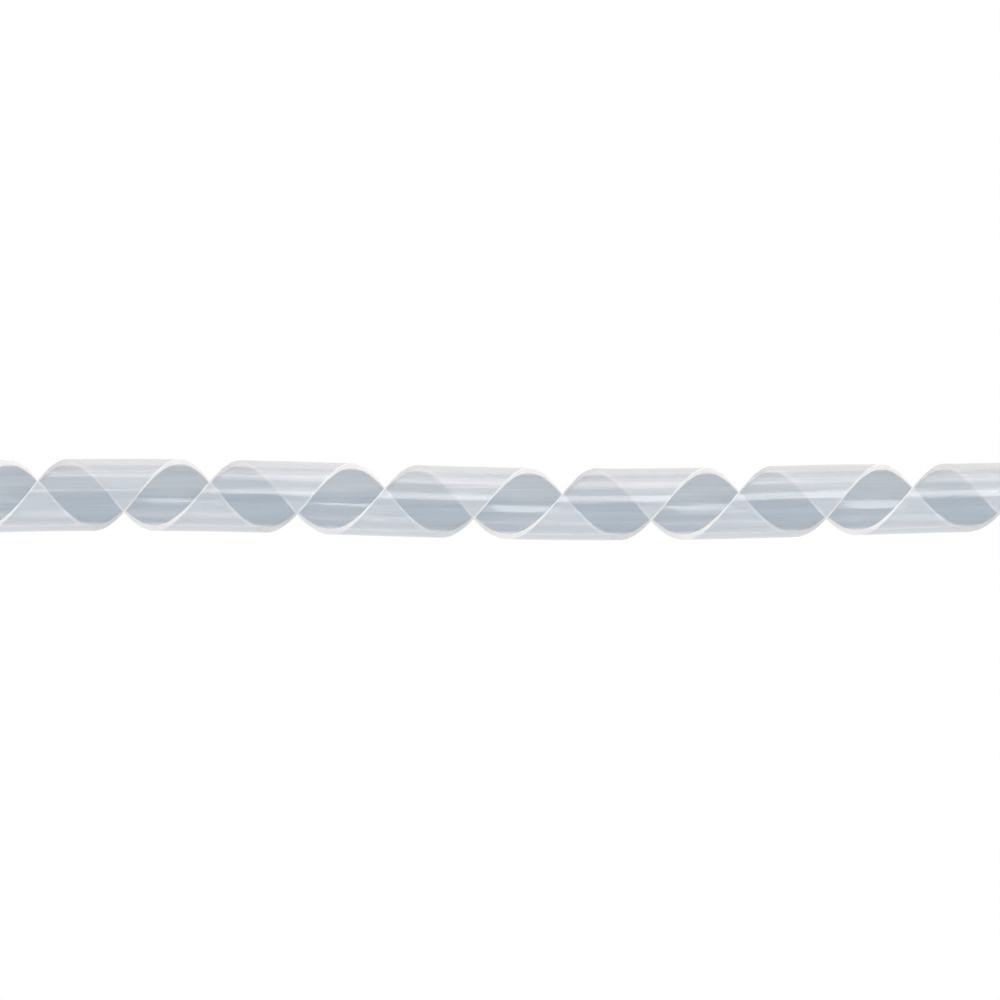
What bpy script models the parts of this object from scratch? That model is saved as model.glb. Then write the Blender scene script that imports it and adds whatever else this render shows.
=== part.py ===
"""Tree guard tube: one plastic strip that winds round a trunk as a left-hand spiral.

The tube lies along X on the floor, z = 0. The strip is modelled turn by turn, so that the
spiral can stretch: each turn is a solid of its own, and the turns meet face to face on the
tube's +Y side. Both ends of the tube are cut off square.
"""

import math

import bmesh
import bpy
from mathutils import Matrix, Vector

# Driving dimensions, in metres.
OUTER_DIAMETER = 0.038
WALL = 0.0028
LENGTH = 0.600
PITCH = 0.0927
STRIP_WIDTH = 0.0598
FIRST_CUT_X = -0.1985
GAP = 0.0003

# The tube isn't quite straight: its axis swings gently sideways, in Y.
BOW = 0.0026
BOW_LENGTH = 0.518
BOW_CREST_X = -0.201

# Turns and their facets. A facet, not a corner, lies on the floor. The first turn starts
# some steps before its full turn, and the last one stops short, both past the end cuts.
TURNS = 7
STEPS = 30
LEAD_IN_STEPS = 13
RUN_OUT_STEPS = 22
PROFILE_CELLS = 2

# The facets' middles lie on the round tube, so their corners lie a little outside it.
AXIS_HEIGHT = OUTER_DIAMETER / 2
CORNER_RADIUS = AXIS_HEIGHT / math.cos(math.pi / STEPS)
INNER_RADIUS = AXIS_HEIGHT - WALL
SMOOTH_ANGLE = math.radians(30)

COLOUR = (0.78, 0.82, 0.86, 1.0)
ROUGHNESS = 0.38
TRANSMISSION = 0.5


def clear_scene():
    """Remove every object that is already in the scene."""
    for old in list(bpy.data.objects):
        bpy.data.objects.remove(old, do_unlink=True)


def bow(x):
    """How far the tube's axis lies to the +Y side at x."""
    return BOW * math.cos(math.tau * (x - BOW_CREST_X) / BOW_LENGTH)


def plastic(name):
    """The milky plastic of one turn."""
    material = bpy.data.materials.new(name)
    material.use_nodes = True
    shader = material.node_tree.nodes["Principled BSDF"]
    shader.inputs["Base Color"].default_value = COLOUR
    shader.inputs["Roughness"].default_value = ROUGHNESS
    shader.inputs["Metallic"].default_value = 0.0
    shader.inputs["Transmission Weight"].default_value = TRANSMISSION
    material.diffuse_color = COLOUR
    return material


def wall_profile(bm, angle):
    """The strip cut lengthways: a long thin rectangle beside the tube's axis."""
    stations = [STRIP_WIDTH * (i / PROFILE_CELLS - 0.5) for i in range(PROFILE_CELLS + 1)]
    outline = [(x, CORNER_RADIUS, 0) for x in stations]
    outline += [(x, INNER_RADIUS, 0) for x in reversed(stations)]
    turned = Matrix.Rotation(angle, 4, "X")
    face = bm.faces.new([bm.verts.new(turned @ Vector(point)) for point in outline])
    return [face] + list(face.edges) + list(face.verts)


def wind_strip(bm, first_angle, last_angle):
    """Sweep the profile from one angle to another about X, moving along X as it goes."""
    steps = round((first_angle - last_angle) / (math.tau / STEPS))
    turned = last_angle - first_angle
    geometry = wall_profile(bm, first_angle)
    start = -PITCH * first_angle / math.tau
    bmesh.ops.translate(bm, verts=bm.verts[:], vec=(start, 0, 0))
    advance = -PITCH * turned / math.tau / steps
    bmesh.ops.spin(bm, geom=geometry, cent=(0, 0, 0), axis=(1, 0, 0),
                   dvec=(advance, 0, 0), angle=turned, steps=steps)


def cut_square(bm, x, side):
    """Cut off all that lies past x, towards side (+1 or -1), and close the cut."""
    everything = bm.verts[:] + bm.edges[:] + bm.faces[:]
    cut = bmesh.ops.bisect_plane(bm, geom=everything, plane_co=(x, 0, 0), dist=1e-7,
                                 plane_no=(side, 0, 0), clear_outer=True)
    edges = [item for item in cut["geom_cut"] if isinstance(item, bmesh.types.BMEdge)]
    bmesh.ops.holes_fill(bm, edges=edges, sides=0)


def make_turn(number, axis_empty):
    """One turn of the strip, from its cut on the +Y side to the next turn's cut."""
    start_x = FIRST_CUT_X + PITCH * (number - 2)
    half_gap = GAP / 2 / (AXIS_HEIGHT - WALL / 2)
    first_angle = -half_gap
    last_angle = half_gap - math.tau
    if number == 1:
        first_angle = math.tau * LEAD_IN_STEPS / STEPS
    if number == TURNS:
        last_angle = -math.tau * RUN_OUT_STEPS / STEPS

    bm = bmesh.new()
    wind_strip(bm, first_angle, last_angle)
    if number == 1:
        cut_square(bm, -LENGTH / 2 - start_x, -1)
    if number == TURNS:
        cut_square(bm, LENGTH / 2 - start_x, 1)
    for vertex in bm.verts:
        vertex.co.y += bow(vertex.co.x + start_x)
    bmesh.ops.recalc_face_normals(bm, faces=bm.faces[:])

    name = "turn_%d" % number
    mesh = bpy.data.meshes.new(name)
    bm.to_mesh(mesh)
    bm.free()
    mesh.shade_smooth()
    mesh.set_sharp_from_angle(angle=SMOOTH_ANGLE)
    mesh.materials.append(plastic(name))
    turn = bpy.data.objects.new(name, mesh)
    bpy.context.scene.collection.objects.link(turn)
    turn.parent = axis_empty
    turn.location = (start_x, 0, 0)
    return turn


def main():
    clear_scene()
    axis_empty = bpy.data.objects.new("tube_axis", None)
    axis_empty.location = (0, 0, AXIS_HEIGHT)
    bpy.context.scene.collection.objects.link(axis_empty)
    for number in range(1, TURNS + 1):
        make_turn(number, axis_empty)


main()
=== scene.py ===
"""Looks of the tree guard tube: one unbroken strip of milky plastic, wound as a spiral."""

import math

import bmesh
import bpy
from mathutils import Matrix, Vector


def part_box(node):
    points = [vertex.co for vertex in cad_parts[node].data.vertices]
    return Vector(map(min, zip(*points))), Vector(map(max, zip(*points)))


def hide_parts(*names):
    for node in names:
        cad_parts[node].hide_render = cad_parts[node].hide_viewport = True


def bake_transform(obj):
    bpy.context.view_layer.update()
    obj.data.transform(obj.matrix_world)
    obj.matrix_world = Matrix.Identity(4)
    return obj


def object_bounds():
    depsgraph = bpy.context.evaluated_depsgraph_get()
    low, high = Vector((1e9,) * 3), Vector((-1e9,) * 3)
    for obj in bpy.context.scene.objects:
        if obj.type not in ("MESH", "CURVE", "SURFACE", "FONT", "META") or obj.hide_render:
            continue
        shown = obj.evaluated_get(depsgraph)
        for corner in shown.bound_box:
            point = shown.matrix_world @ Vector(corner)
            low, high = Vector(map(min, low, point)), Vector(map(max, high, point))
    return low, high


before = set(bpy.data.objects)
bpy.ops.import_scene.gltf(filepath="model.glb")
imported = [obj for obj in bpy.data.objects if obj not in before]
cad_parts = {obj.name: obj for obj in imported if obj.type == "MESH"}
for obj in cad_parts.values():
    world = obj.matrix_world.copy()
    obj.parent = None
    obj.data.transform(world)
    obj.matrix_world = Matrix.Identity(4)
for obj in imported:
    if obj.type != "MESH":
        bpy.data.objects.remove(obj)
cad_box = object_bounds()

# The spiral's sizes, from the frame. Two neighbouring turns lie one pitch apart, and a turn is
# as long as its pitch and its strip's width together. Only the wall isn't in the frame.
TURNS = sorted(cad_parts)
SECOND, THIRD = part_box("turn_2"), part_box("turn_3")
LENGTH = cad_box[1][0] - cad_box[0][0]
PITCH = THIRD[0].x - SECOND[0].x
STRIP_WIDTH = SECOND[1].x - SECOND[0].x - PITCH
RADIUS = SECOND[1].z / 2
FIRST_TURN_X = SECOND[0].x + STRIP_WIDTH / 2
WALL = 0.0028

# The axis swings sideways, the tube gets a little narrower towards its +X end, and the pitch
# isn't quite even.
BOW = 0.0026
BOW_LENGTH = 0.518
BOW_CREST_X = -0.201
PINCH = 0.0008
PINCH_SPAN = (0.16, 0.25)
SLIP_TURNS = 5.0
SLIPS = (-0.0015, -0.0013)

# The mesh of the strip: rings per turn, cells across its faces and cut edges and round its
# corners, which have a radius of CORNER. It is wound a little past both ends before it is cut
# square, and edges sharper than SHARP_ANGLE are drawn sharp.
RINGS = 210
FACE_CELLS = 22
EDGE_CELLS = 3
CORNER_CELLS = 3
CORNER = 0.00035
RUN_PAST = 0.004
SHARP_ANGLE = math.radians(40)

# How far the cut edges stray, as waves of (size, rate, shift), and how uneven the wall is, as
# waves of (size, rate round the tube, rate along it, phase).
EDGE_WAVER = 0.00022
WAVER_WAVES = ((0.55, 1.7, 1.0), (0.3, 4.3, 2.1), (0.15, 11.9, 3.7))
WAVER_SEEDS = (1.0, 4.0)
RIPPLE = 0.00006
RIPPLE_WAVES = ((1.0, 5, 9, 0.0), (0.6, 11, -14, 1.3), (0.35, 23, 31, 0.4))

# The strip's material slots: the wall's outer side, its cut edges and its inner side.
OUTER, CUT, INNER = range(3)

# The wall's two sides: the inner one is milkier, being more opaque, and its colours are much
# paler. This is painted light, which mostly brightens the far wall's inside, where the near wall
# shades it. Each has its darkest and palest streaks, its opacity, its least and greatest
# roughness, and how deep the cut edge's pale rim reaches. That rim is painted light, a glow
# along the cut edges.
OUTER_SHADES = ((0.345, 0.36, 0.39), (0.415, 0.42, 0.445))
OUTER_ALPHA = 0.2
OUTER_ROUGHNESS = (0.08, 0.17)
OUTER_RIM = 0.0005
# The inner side is paler than the outer: painted light for the far wall's shaded inside.
INNER_SHADES = ((0.60, 0.63, 0.675), (0.715, 0.725, 0.755))
INNER_ALPHA = 0.54
INNER_ROUGHNESS = (0.03, 0.08)
INNER_RIM = 0.0006

# Both sides' gloss, the colour of the rim's painted light along the cut edges, and how much
# paler than the palest streaks the haze and the fine lines are.
WALL_IOR = 1.65
HAZE_PALER = 1.08
LINES_PALER = 1.17
RIM_COLOUR = (0.91, 0.885, 0.86)

# The cut edges' dark and pale patches, their grain's colour and their opacity.
CUT_SHADES = ((0.79, 0.77, 0.75), (0.87, 0.845, 0.82))
GRAIN_COLOUR = (0.73, 0.72, 0.71)
CUT_ALPHA = 0.88

# Most of a noise's values lie in NOISE_MIDDLE, so colours are spread over that range.
# NOISE_ROUGHNESS is how much its finer layers count.
NOISE_MIDDLE = (0.35, 0.65)
NOISE_ROUGHNESS = 0.55

# The colour sockets of a Mix node.
MIX_FIRST, MIX_SECOND, MIX_RESULT = 6, 7, 2

# The camera hangs high over the tube, a few degrees towards its -X end.
LENS = 450.0
SENSOR = 36.0
VIEW_WIDTH = 0.529
VIEW_TILT = math.radians(3.8)
VIEW_CENTRE = Vector((0.0, -0.00026, RADIUS))

# The floor lies just under the tube. Seen directly it is white, and FLOOR_BOUNCE is how bright
# it is for everything it lights. Behind plastic it shows painted shade: SHADES is how it looks
# there, as (distance from the tube's axis towards +Y, colour). SHADE_DARK is the painted shadow
# of the tube on its -Y side, and SHADE_LIGHT the lighter painted shade on its +Y side.
# SHADE_EDGE and SHADE_RIM are pale painted light under the tube's outline, where its wall is
# seen edge-on.
SUNK = 0.0004
FLOOR_SIZE = 60.0
SHADE_DARK = (0.06, 0.145, 0.22)
SHADE_LIGHT = (0.23, 0.29, 0.33)
SHADE_EDGE = (0.72, 0.75, 0.80)
SHADE_RIM = (0.86, 0.85, 0.86)
SHADES = (
    (-0.0200, SHADE_EDGE), (-0.0162, SHADE_EDGE), (-0.0144, SHADE_DARK), (-0.0010, SHADE_DARK),
    (0.0045, SHADE_LIGHT), (0.0150, SHADE_LIGHT), (0.0163, SHADE_RIM), (0.0200, SHADE_RIM),
)
SHADE_STEPS = 60
SHADE_LENGTH = 0.7
FLOOR_BOUNCE = (1.12, 1.09, 1.08)
WHITE = (1.0, 1.0, 1.0)


def bow(x):
    """How far the tube's axis lies to the +Y side at x."""
    return BOW * math.cos(math.tau * (x - BOW_CREST_X) / BOW_LENGTH)


def pinch(x):
    """How much smaller the tube's radius is at x than at its middle."""
    share = min(max((x - PINCH_SPAN[0]) / (PINCH_SPAN[1] - PINCH_SPAN[0]), 0.0), 1.0)
    return PINCH * share * share * (3 - 2 * share)


def centre_x(turn):
    """Where the middle of the strip is along the tube, after so many turns."""
    phase = math.pi * (turn + 0.5) / SLIP_TURNS
    slip = sum(size * math.sin(n * phase) for n, size in enumerate(SLIPS, 1))
    return FIRST_TURN_X + PITCH * turn + slip - SLIPS[1] / 2


def waver(turn, seed):
    """A knife's small wandering along a cut edge, between about -1 and 1."""
    angle = math.tau * turn
    return sum(size * math.sin(rate * angle + shift * seed) for size, rate, shift in WAVER_WAVES)


def ripple(x, angle):
    """The wall's shallow unevenness, whose waves run nearly along the tube."""
    return RIPPLE * sum(size * math.sin(around * angle + along * x + phase)
                        for size, around, along, phase in RIPPLE_WAVES)


def strip_section():
    """Points round the strip's section, as (share of its half width, distance along the tube
    past that share, radius, material slot of the side that follows the point)."""
    inner = RADIUS - WALL
    points = []
    for side, slot, face_radius, edge_radius in ((1, OUTER, RADIUS, inner),
                                                 (-1, INNER, inner, RADIUS)):
        turned_in = -side
        for i in range(FACE_CELLS):
            share = -side * math.cos(math.pi * i / FACE_CELLS)
            points.append((share, -share * CORNER, face_radius, slot))
        for i in range(CORNER_CELLS):
            angle = math.pi / 2 * i / CORNER_CELLS
            points.append((side, side * CORNER * (math.sin(angle) - 1),
                           face_radius + turned_in * CORNER * (1 - math.cos(angle)), CUT))
        for i in range(EDGE_CELLS):
            start = face_radius + turned_in * CORNER
            span = edge_radius - turned_in * CORNER - start
            points.append((side, 0.0, start + span * i / EDGE_CELLS, CUT))
        for i in range(CORNER_CELLS):
            angle = math.pi / 2 * i / CORNER_CELLS
            points.append((side, side * CORNER * (math.cos(angle) - 1),
                           edge_radius - turned_in * CORNER * (1 - math.sin(angle)), CUT))
    return points


def cut_square(bm, x, side):
    """Cut off all that lies past x, towards side (+1 or -1), and close the cut."""
    everything = bm.verts[:] + bm.edges[:] + bm.faces[:]
    cut = bmesh.ops.bisect_plane(bm, geom=everything, plane_co=(x, 0, 0), dist=1e-7,
                                 plane_no=(side, 0, 0), clear_outer=True)
    rim = [item for item in cut["geom_cut"] if isinstance(item, bmesh.types.BMEdge)]
    filled = bmesh.ops.holes_fill(bm, edges=rim, sides=0)
    capped = bmesh.ops.triangulate(bm, faces=filled["faces"])
    for face in capped["faces"]:
        face.material_index = CUT


def make_strip(name):
    """The whole strip as one closed mesh. Its rim attribute places the pale rim of painted light
    along the cut edges: it is 1 at the cut edges and fades across the wall's sides."""
    section = strip_section()
    bm = bmesh.new()
    rim_layer = bm.verts.layers.float.new("rim")
    rings = []
    margin = STRIP_WIDTH / 2 + RUN_PAST
    start = math.floor((-LENGTH / 2 - margin - FIRST_TURN_X) / PITCH * RINGS)
    stop = math.ceil((LENGTH / 2 + margin - FIRST_TURN_X) / PITCH * RINGS)
    for step in range(start, stop + 1):
        turn = step / RINGS
        angle = -math.tau * turn
        middle = centre_x(turn)
        ring = []
        for share, past, radius, _ in section:
            seed = WAVER_SEEDS[0] if share > 0 else WAVER_SEEDS[1]
            stray = EDGE_WAVER * waver(turn, seed) * abs(share)
            x = middle + share * STRIP_WIDTH / 2 + past + stray
            r = radius + ripple(x, angle) - pinch(x)
            vertex = bm.verts.new((x, r * math.cos(angle) + bow(x) - pinch(x),
                                   RADIUS + r * math.sin(angle) - pinch(x)))
            depth = OUTER_RIM if radius > RADIUS - WALL / 2 else INNER_RIM
            vertex[rim_layer] = math.exp(-(1 - abs(share)) * STRIP_WIDTH / 2 / depth)
            ring.append(vertex)
        rings.append(ring)
    count = len(section)
    for low, high in zip(rings, rings[1:]):
        for i in range(count):
            j = (i + 1) % count
            face = bm.faces.new((low[i], low[j], high[j], high[i]))
            face.material_index = section[i][3]
    cut_square(bm, -LENGTH / 2, -1)
    cut_square(bm, LENGTH / 2, 1)
    bmesh.ops.recalc_face_normals(bm, faces=bm.faces[:])
    mesh = bpy.data.meshes.new(name)
    bm.to_mesh(mesh)
    bm.free()
    mesh.shade_smooth()
    mesh.set_sharp_from_angle(angle=SHARP_ANGLE)
    strip = bpy.data.objects.new(name, mesh)
    bpy.context.scene.collection.objects.link(strip)
    return strip


def node(tree, kind, **values):
    """A shader node, with its properties and its inputs' values."""
    made = tree.nodes.new(kind)
    for key, value in values.items():
        if hasattr(made, key):
            setattr(made, key, value)
        else:
            made.inputs[key.replace("_", " ")].default_value = value
    return made


def stretched_noise(tree, along, across, detail):
    """Noise of so many waves a metre along and across the tube. Fewer along than across draws
    it out like the lines that an extruder's die leaves."""
    place = tree.nodes.get("Place") or node(tree, "ShaderNodeTexCoord", name="Place")
    mapping = node(tree, "ShaderNodeMapping", Scale=(along, across, across))
    tree.links.new(place.outputs["Object"], mapping.inputs["Vector"])
    noise = node(tree, "ShaderNodeTexNoise", Scale=1.0, Detail=detail,
                 Roughness=NOISE_ROUGHNESS)
    tree.links.new(mapping.outputs[0], noise.inputs["Vector"])
    return noise.outputs["Fac"]


def ranged(tree, source, low, high, to_low, to_high):
    """source, moved from one range to another and kept inside it."""
    spread = node(tree, "ShaderNodeMapRange", From_Min=low, From_Max=high,
                  To_Min=to_low, To_Max=to_high)
    tree.links.new(source, spread.inputs["Value"])
    return spread.outputs["Result"]


def mixed(tree, factor, first, second):
    """A colour between two, each a socket or a plain colour."""
    mix = node(tree, "ShaderNodeMix", data_type="RGBA")
    tree.links.new(factor, mix.inputs["Factor"])
    for socket, value in ((mix.inputs[MIX_FIRST], first), (mix.inputs[MIX_SECOND], second)):
        if isinstance(value, tuple):
            socket.default_value = (*value, 1.0)
        else:
            tree.links.new(value, socket)
    return mix.outputs[MIX_RESULT]


def new_material(name):
    """A new material, its node tree and its Principled shader."""
    material = bpy.data.materials.new(name)
    material.use_nodes = True
    tree = material.node_tree
    return material, tree, tree.nodes["Principled BSDF"]


def bumped(tree, height, strength, distance, normal=None):
    """A bump from height, on top of another bump where normal is given."""
    bump = node(tree, "ShaderNodeBump", Strength=strength, Distance=distance)
    tree.links.new(height, bump.inputs["Height"])
    if normal is not None:
        tree.links.new(normal, bump.inputs["Normal"])
    return bump.outputs["Normal"]


def milky_plastic(name, shades, alpha, roughness):
    """One side of the strip's wall: see-through and softly glossy, with streaks along the
    tube. shades are its darkest and its palest streaks' colours."""
    material, tree, shader = new_material(name)
    dark, pale = (Vector(shade) for shade in shades)
    fine = stretched_noise(tree, along=14.0, across=900.0, detail=3.0)
    broad = stretched_noise(tree, along=9.0, across=230.0, detail=3.0)
    cloud = stretched_noise(tree, along=22.0, across=60.0, detail=3.0)
    rim = node(tree, "ShaderNodeAttribute", attribute_name="rim").outputs["Fac"]
    streaked = mixed(tree, ranged(tree, broad, *NOISE_MIDDLE, 0, 1), tuple(dark), tuple(pale))
    hazed = mixed(tree, ranged(tree, cloud, 0.4, 0.75, 0, 0.5), streaked,
                  tuple(pale * HAZE_PALER))
    lined = mixed(tree, ranged(tree, fine, 0.4, 0.7, 0, 0.35), hazed, tuple(pale * LINES_PALER))
    # A pale rim of painted light: a glow along the cut edges that fades across the wall.
    edged = mixed(tree, ranged(tree, rim, 0.15, 0.8, 0, 1), lined, RIM_COLOUR)
    tree.links.new(edged, shader.inputs["Base Color"])
    tree.links.new(ranged(tree, broad, *NOISE_MIDDLE, *roughness), shader.inputs["Roughness"])
    lines = bumped(tree, fine, strength=0.25, distance=0.0002)
    swells = bumped(tree, broad, strength=0.28, distance=0.0008, normal=lines)
    tree.links.new(swells, shader.inputs["Normal"])
    shader.inputs["Alpha"].default_value = alpha
    shader.inputs["IOR"].default_value = WALL_IOR
    shader.inputs["Specular IOR Level"].default_value = 1.0
    return material


def cut_plastic():
    """The knife-cut edges: paler and more solid than the walls, with a fine drag grain."""
    material, tree, shader = new_material("cut_plastic")
    grain = stretched_noise(tree, along=900.0, across=900.0, detail=4.0)
    patch = stretched_noise(tree, along=60.0, across=60.0, detail=2.0)
    patched = mixed(tree, ranged(tree, patch, *NOISE_MIDDLE, 0, 1), *CUT_SHADES)
    grained = mixed(tree, ranged(tree, grain, *NOISE_MIDDLE, 0, 0.4), patched, GRAIN_COLOUR)
    tree.links.new(grained, shader.inputs["Base Color"])
    tree.links.new(ranged(tree, grain, 0.3, 0.7, 0.42, 0.62), shader.inputs["Roughness"])
    tree.links.new(bumped(tree, grain, strength=0.25, distance=0.0002), shader.inputs["Normal"])
    shader.inputs["Alpha"].default_value = CUT_ALPHA
    return material


def make_camera():
    """The main view, from nearly straight above."""
    data = bpy.data.cameras.new("camera")
    data.lens = LENS
    data.sensor_width = SENSOR
    camera = bpy.data.objects.new("camera", data)
    bpy.context.scene.collection.objects.link(camera)
    distance = VIEW_WIDTH * LENS / SENSOR
    camera.location = VIEW_CENTRE + distance * Vector((-math.sin(VIEW_TILT), 0,
                                                       math.cos(VIEW_TILT)))
    camera.rotation_euler = (0, -VIEW_TILT, 0)
    bpy.context.scene.camera = camera


def seen_directly(tree):
    """1 for camera rays that have passed through nothing, and 0 for all other rays."""
    path = node(tree, "ShaderNodeLightPath", name="Path")
    bare = node(tree, "ShaderNodeMath", operation="LESS_THAN")
    bare.inputs[1].default_value = 0.5
    tree.links.new(path.outputs["Transparent Depth"], bare.inputs[0])
    both = node(tree, "ShaderNodeMath", operation="MULTIPLY")
    tree.links.new(bare.outputs[0], both.inputs[0])
    tree.links.new(path.outputs["Is Camera Ray"], both.inputs[1])
    return both.outputs[0]


def glowing_white_painted_shadow(name):
    """White where the camera sees it directly, as the mesh's shade attribute says where it
    sees it through plastic, and FLOOR_BOUNCE for everything it lights. The shade attribute is a
    painted shadow of the tube, with pale painted light at its outline."""
    material, tree, shader = new_material(name)
    shader.inputs["Base Color"].default_value = (0, 0, 0, 1)
    shader.inputs["Specular IOR Level"].default_value = 0.0
    # The shade attribute holds the floor's painted shadow and painted light, seen through
    # plastic.
    shade = node(tree, "ShaderNodeAttribute", attribute_name="shade").outputs["Color"]
    direct = seen_directly(tree)
    glow = mixed(tree, tree.nodes["Path"].outputs["Is Camera Ray"], FLOOR_BOUNCE, shade)
    tree.links.new(mixed(tree, direct, glow, WHITE), shader.inputs["Emission Color"])
    shader.inputs["Emission Strength"].default_value = 1.0
    return material


def make_floor():
    """A plain white floor. What shows of it through the plastic is a painted shadow of the tube,
    in
    bands that follow the tube: deepest on its -Y side, lighter on its +Y side, and palest at its
    outline, where the bands are painted light."""
    half = FLOOR_SIZE / 2
    stations = [SHADE_LENGTH * (i / SHADE_STEPS - 0.5) for i in range(SHADE_STEPS + 1)]
    spreads = [(-half, SHADE_RIM)] + list(SHADES) + [(half, SHADE_RIM)]
    points = []
    colours = []
    for x in [-half] + stations + [half]:
        for y, colour in spreads:
            narrowed = y * (1 - pinch(x) / RADIUS)
            points.append((x, narrowed + bow(x) - pinch(x), -SUNK))
            colours.append(colour)
    across = len(spreads)
    faces = []
    for i in range(len(stations) + 1):
        for j in range(across - 1):
            low = i * across + j
            faces.append((low, low + across, low + across + 1, low + 1))
    mesh = bpy.data.meshes.new("floor")
    mesh.from_pydata(points, [], faces)
    shade = mesh.color_attributes.new("shade", "FLOAT_COLOR", "POINT")
    for item, colour in zip(shade.data, colours):
        item.color = (*colour, 1.0)
    mesh.materials.append(glowing_white_painted_shadow("white_floor"))
    floor = bpy.data.objects.new("floor", mesh)
    bpy.context.scene.collection.objects.link(floor)


def make_softbox(name, angle, distance, size, radiance, colour):
    """A rectangular light that faces the tube. angle is how far it leans from straight above
    towards +Y, and size is its length along the tube and its width."""
    length, width = size
    data = bpy.data.lights.new(name, "AREA")
    data.shape = "RECTANGLE"
    data.size = length
    data.size_y = width
    data.energy = radiance * math.pi * length * width
    data.color = colour
    light = bpy.data.objects.new(name, data)
    light.location = (0, distance * math.sin(angle), RADIUS + distance * math.cos(angle))
    light.rotation_euler = (-angle, 0, 0)
    light.visible_camera = False
    bpy.context.scene.collection.objects.link(light)


def make_taper(name, angle, distance, ends, widths, radiance):
    """A glowing panel that faces the tube and widens along X, from the first of its ends to
    the second. It leaves a highlight along the tube that widens in the same way."""
    middle = Vector((0, distance * math.sin(angle), RADIUS + distance * math.cos(angle)))
    sideways = Vector((0, math.cos(angle), -math.sin(angle)))
    corners = []
    for x, width in zip(ends, widths):
        corners += [middle + Vector((x, 0, 0)) + sideways * width * part for part in (-0.5, 0.5)]
    mesh = bpy.data.meshes.new(name)
    mesh.from_pydata(corners, [], [(0, 1, 3, 2)])
    panel = bpy.data.objects.new(name, mesh)
    bpy.context.scene.collection.objects.link(panel)
    panel.visible_camera = False
    material, tree, shader = new_material(name)
    shader.inputs["Base Color"].default_value = (0, 0, 0, 1)
    shader.inputs["Emission Color"].default_value = (1, 1, 1, 1)
    shader.inputs["Emission Strength"].default_value = radiance
    mesh.materials.append(material)


def make_lights():
    """A tapered light nearly overhead, a low warm one on the +Y side and a broad cool fill on
    the -Y side, in a pale world that is white where the camera sees it directly."""
    make_taper("taper_light", angle=math.radians(19), distance=2.6, ends=(-0.32, 1.0),
               widths=(0.0, 2.3), radiance=4.0)
    make_softbox("broad_light", angle=math.radians(78), distance=2.4, size=(2.2, 0.95),
                 radiance=2.7, colour=(1.0, 0.90, 0.85))
    make_softbox("fill_light", angle=math.radians(-50), distance=2.6, size=(3.0, 2.6),
                 radiance=0.45, colour=(0.82, 0.95, 1.0))
    world = bpy.data.worlds.new("studio")
    bpy.context.scene.world = world
    world.use_nodes = True
    tree = world.node_tree
    sky = tree.nodes["Background"]
    sky.inputs["Color"].default_value = (0.94, 0.97, 1.0, 1)
    sky.inputs["Strength"].default_value = 0.93
    seen = node(tree, "ShaderNodeBackground", Color=(*WHITE, 1), Strength=1.0)
    mix = node(tree, "ShaderNodeMixShader")
    tree.links.new(seen_directly(tree), mix.inputs["Fac"])
    tree.links.new(sky.outputs[0], mix.inputs[1])
    tree.links.new(seen.outputs[0], mix.inputs[2])
    tree.links.new(mix.outputs[0], tree.nodes["World Output"].inputs["Surface"])


make_camera()
make_floor()
make_lights()
bpy.context.scene.view_settings.view_transform = "Standard"

strip = make_strip("guard_strip")
# In the order of the slots: OUTER, CUT, INNER.
strip.data.materials.append(milky_plastic("outer_plastic", OUTER_SHADES, OUTER_ALPHA,
                                          OUTER_ROUGHNESS))
strip.data.materials.append(cut_plastic())
strip.data.materials.append(milky_plastic("inner_plastic", INNER_SHADES, INNER_ALPHA,
                                          INNER_ROUGHNESS))
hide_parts(*TURNS)
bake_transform(strip)
